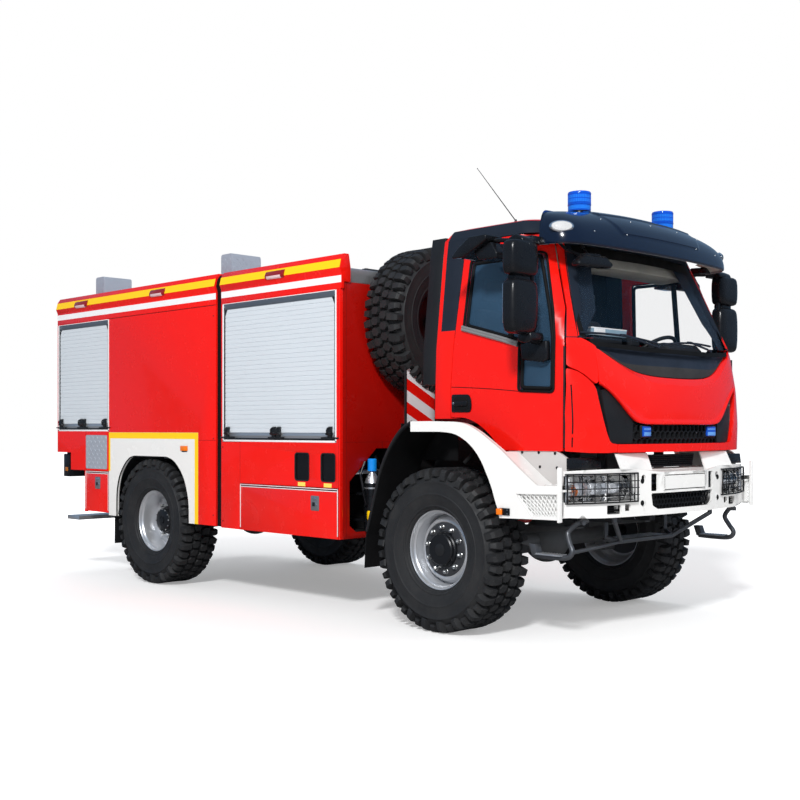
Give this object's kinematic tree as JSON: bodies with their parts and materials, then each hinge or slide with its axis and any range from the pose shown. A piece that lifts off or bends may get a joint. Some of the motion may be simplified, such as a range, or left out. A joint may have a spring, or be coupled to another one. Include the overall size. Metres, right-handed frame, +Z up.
{
  "type": "fire engine",
  "caption": "Off-road fire engine: tilting crew cab, equipment body with roller shutters and drop flaps, steered front wheels, opening doors and front lid.",
  "frame": {"origin": "on the ground under the middle of the whole truck's length and width", "axes": "+X forward, +Y to the truck's left, +Z up"},
  "size_m": [6.8579, 2.88, 3.4324],
  "materials": {
    "painted_red": "gloss",
    "painted_white": "gloss",
    "visor_navy": "gloss",
    "black_plastic": "satin",
    "frame_grey": "satin",
    "tyre_rubber": "matte",
    "rim_silver": "satin",
    "aluminium": "satin",
    "shutter_grey": "satin",
    "glazing": "gloss",
    "cast_grey": "matte",
    "lamp_clear": "gloss",
    "beacon_blue": "gloss",
    "seat_cloth": "matte",
    "rubber_black": "matte"
  },
  "bodies": {
    "chassis": {"chassis_frame": "frame_grey", "powertrain": "cast_grey", "front_axle": "cast_grey", "rear_axle": "cast_grey", "front_bumper": "painted_white", "lower_grille": "black_plastic", "lamps": "lamp_clear", "front_steps": "frame_grey", "front_fenders": "painted_white", "front_liners": "rubber_black", "rear_liners": "black_plastic", "rear_arch_panels": "painted_white", "side_panels": "painted_red", "end_walls": "painted_red", "body_floor": "aluminium", "body_roof": "aluminium", "roof_rails": "painted_red", "roller_shutters": "shutter_grey", "roof_gear": "aluminium", "rear_access": "aluminium", "spare_tyre": "tyre_rubber", "spare_carrier": "frame_grey"},
    "cab": {"cab_shell": "painted_red", "cab_apron": "painted_red", "cab_grille": "black_plastic", "windscreen": "glazing", "cab_floor": "frame_grey", "dashboard": "black_plastic", "seats": "seat_cloth", "visor": "visor_navy", "roof_fittings": "beacon_blue", "air_intake": "black_plastic"},
    "hood": {"hood": "painted_red"},
    "door_right": {"door_right": "painted_red", "door_glass_right": "glazing", "mirrors_right": "black_plastic"},
    "front_flap_right": {"front_flap_right": "painted_red"},
    "rear_flap_right": {"rear_flap_right": "painted_red"},
    "knuckle_right": {"knuckle_right": "cast_grey"},
    "front_wheel_right": {"front_rim_right": "rim_silver", "front_tyre_right": "tyre_rubber"},
    "rear_wheel_right": {"rear_rim_right": "rim_silver", "rear_tyre_right": "tyre_rubber"},
    "door_left": {"door_left": "painted_red", "door_glass_left": "glazing", "mirrors_left": "black_plastic"},
    "front_flap_left": {"front_flap_left": "painted_red"},
    "rear_flap_left": {"rear_flap_left": "painted_red"},
    "knuckle_left": {"knuckle_left": "cast_grey"},
    "front_wheel_left": {"front_rim_left": "rim_silver", "front_tyre_left": "tyre_rubber"},
    "rear_wheel_left": {"rear_rim_left": "rim_silver", "rear_tyre_left": "tyre_rubber"}
  },
  "joints": [
    {"name": "cab_tilt", "type": "hinge", "parent": "chassis", "child": "cab", "pos_m": [3.089, 0, 1], "axis": [0, 1, 0], "range_deg": [0, 50]},
    {"name": "hood_lift", "type": "hinge", "parent": "cab", "child": "hood", "pos_m": [3.364, 0, 2.01], "axis": [0, -1, 0], "range_deg": [0, 75]},
    {"name": "door_right", "type": "hinge", "parent": "cab", "child": "door_right", "pos_m": [3.181, -1.078, 1.69], "axis": [0, 0, 1], "range_deg": [0, 70]},
    {"name": "front_flap_right_drop", "type": "hinge", "parent": "chassis", "child": "front_flap_right", "pos_m": [0.5045, -1.238, 0.614], "axis": [1, 0, 0], "range_deg": [0, 90]},
    {"name": "rear_flap_right_drop", "type": "hinge", "parent": "chassis", "child": "rear_flap_right", "pos_m": [-2.5025, -1.238, 0.645], "axis": [1, 0, 0], "range_deg": [0, 90]},
    {"name": "steer_right", "type": "hinge", "parent": "chassis", "child": "knuckle_right", "pos_m": [2.139, -0.88, 0.59], "axis": [0, 0, 1], "range_deg": [-30, 30]},
    {"name": "front_wheel_right_spin", "type": "hinge", "parent": "knuckle_right", "child": "front_wheel_right", "pos_m": [2.139, -1.05, 0.59], "axis": [0, 1, 0], "continuous": true},
    {"name": "rear_wheel_right_spin", "type": "hinge", "parent": "chassis", "child": "rear_wheel_right", "pos_m": [-1.551, -1.05, 0.59], "axis": [0, 1, 0], "continuous": true},
    {"name": "door_left", "type": "hinge", "parent": "cab", "child": "door_left", "pos_m": [3.181, 1.078, 1.69], "axis": [0, 0, -1], "range_deg": [0, 70]},
    {"name": "front_flap_left_drop", "type": "hinge", "parent": "chassis", "child": "front_flap_left", "pos_m": [0.5045, 1.238, 0.614], "axis": [-1, 0, 0], "range_deg": [0, 90]},
    {"name": "rear_flap_left_drop", "type": "hinge", "parent": "chassis", "child": "rear_flap_left", "pos_m": [-2.5025, 1.238, 0.645], "axis": [-1, 0, 0], "range_deg": [0, 90]},
    {"name": "steer_left", "type": "hinge", "parent": "chassis", "child": "knuckle_left", "pos_m": [2.139, 0.88, 0.59], "axis": [0, 0, 1], "range_deg": [-30, 30]},
    {"name": "front_wheel_left_spin", "type": "hinge", "parent": "knuckle_left", "child": "front_wheel_left", "pos_m": [2.139, 1.05, 0.59], "axis": [0, 1, 0], "continuous": true},
    {"name": "rear_wheel_left_spin", "type": "hinge", "parent": "chassis", "child": "rear_wheel_left", "pos_m": [-1.551, 1.05, 0.59], "axis": [0, 1, 0], "continuous": true}
  ],
  "couplings": [
    {"joint": "steer_left", "follows": "steer_right", "ratio": 1}
  ]
}
